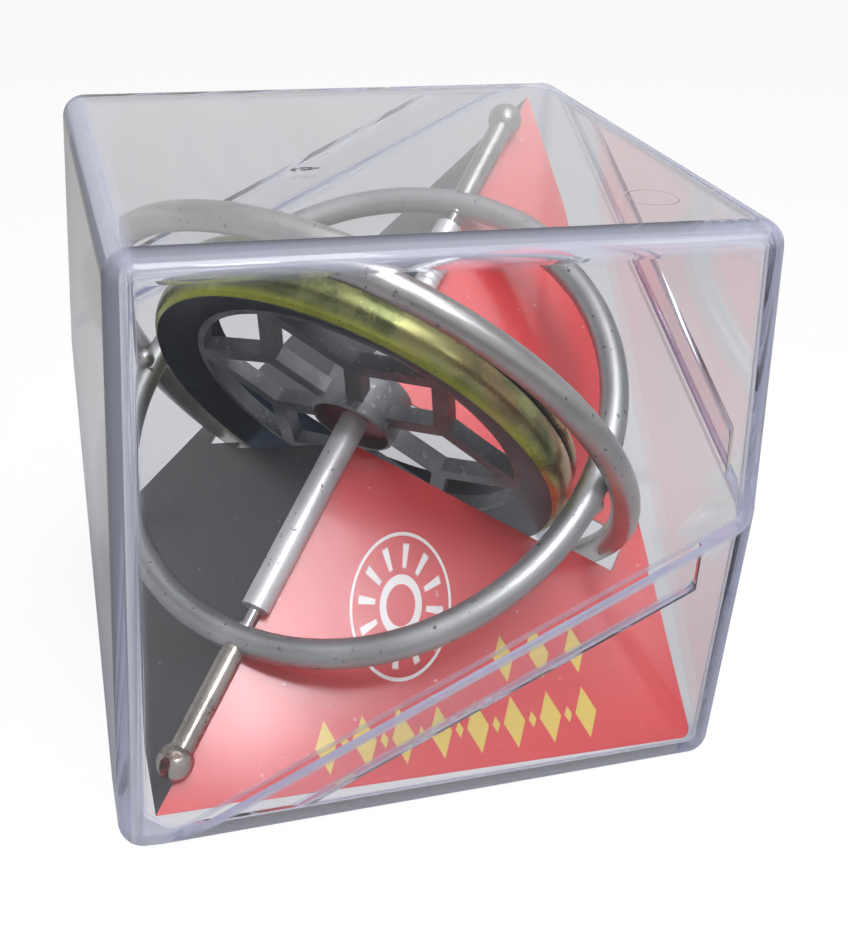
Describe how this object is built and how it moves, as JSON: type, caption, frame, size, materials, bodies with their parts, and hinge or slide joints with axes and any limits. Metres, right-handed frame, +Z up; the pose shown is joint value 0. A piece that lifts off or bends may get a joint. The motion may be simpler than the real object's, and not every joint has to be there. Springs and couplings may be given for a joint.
{
  "type": "boxed toy gyroscope",
  "caption": "Toy gyroscope with a heavy rimmed rotor in crossed rings, lying on a folded card in a clear cube case that parts along a slanting seam.",
  "frame": {"origin": "middle of the case underside", "axes": "+Z up, -Y out of the case wall that the picture shows in front"},
  "size_m": [0.0666, 0.0666, 0.0628],
  "materials": {
    "clear_plastic": "clear styrene with a faint violet-grey tint, polished",
    "red_card": "red printed card, light gloss varnish",
    "black_card": "black printed card, satin",
    "zinc": "dull cast zinc with small pits",
    "bright_zinc": "zinc plated, brighter",
    "nickel": "worn nickel plate with brown specks",
    "steel": "bright ground steel",
    "chromate": "olive chromate plate, glossy and mottled",
    "web_zinc": "dull die-cast zinc",
    "hub_plate": "dark crimson tinted turned face"
  },
  "bodies": {
    "lower_case": {"case_lower_half": "clear_plastic"},
    "upper_case": {"case_upper_half": "clear_plastic"},
    "card": {"card_red_panel": "red_card", "card_black_panel": "black_card"},
    "gyroscope": {"meridian_ring": "zinc", "equatorial_ring": "bright_zinc", "crossing_beads": "bright_zinc", "lower_stem": "nickel", "fork_ball": "nickel", "upper_stem": "nickel", "upper_ball": "nickel", "lower_bearing_cup": "steel", "upper_bearing_cup": "steel"},
    "rotor": {"axle": "steel", "lower_sleeve": "zinc", "upper_sleeve": "zinc", "rotor_web": "web_zinc", "rotor_rim": "chromate", "front_hub_washer": "hub_plate", "rear_hub_washer": "hub_plate"}
  },
  "joints": [
    {"name": "case_lift", "type": "slide", "parent": "lower_case", "child": "upper_case", "axis": [0, 0, 1], "range_m": [0, 0.2]},
    {"name": "card_lift", "type": "slide", "parent": "lower_case", "child": "card", "axis": [0, 0, 1], "range_m": [0, 0.08]},
    {"name": "gyroscope_lift", "type": "slide", "parent": "card", "child": "gyroscope", "axis": [-0.4198, -0.4198, 0.8047], "range_m": [0, 0.006]},
    {"name": "rotor_spin", "type": "hinge", "parent": "gyroscope", "child": "rotor", "pos_m": [-0.0022, -0.0022, 0.03267], "axis": [0.569, 0.569, 0.5937], "continuous": true}
  ],
  "couplings": [
    {"joint": "card_lift", "follows": "case_lift", "ratio": 0.4},
    {"joint": "gyroscope_lift", "follows": "case_lift", "ratio": 0.03}
  ]
}
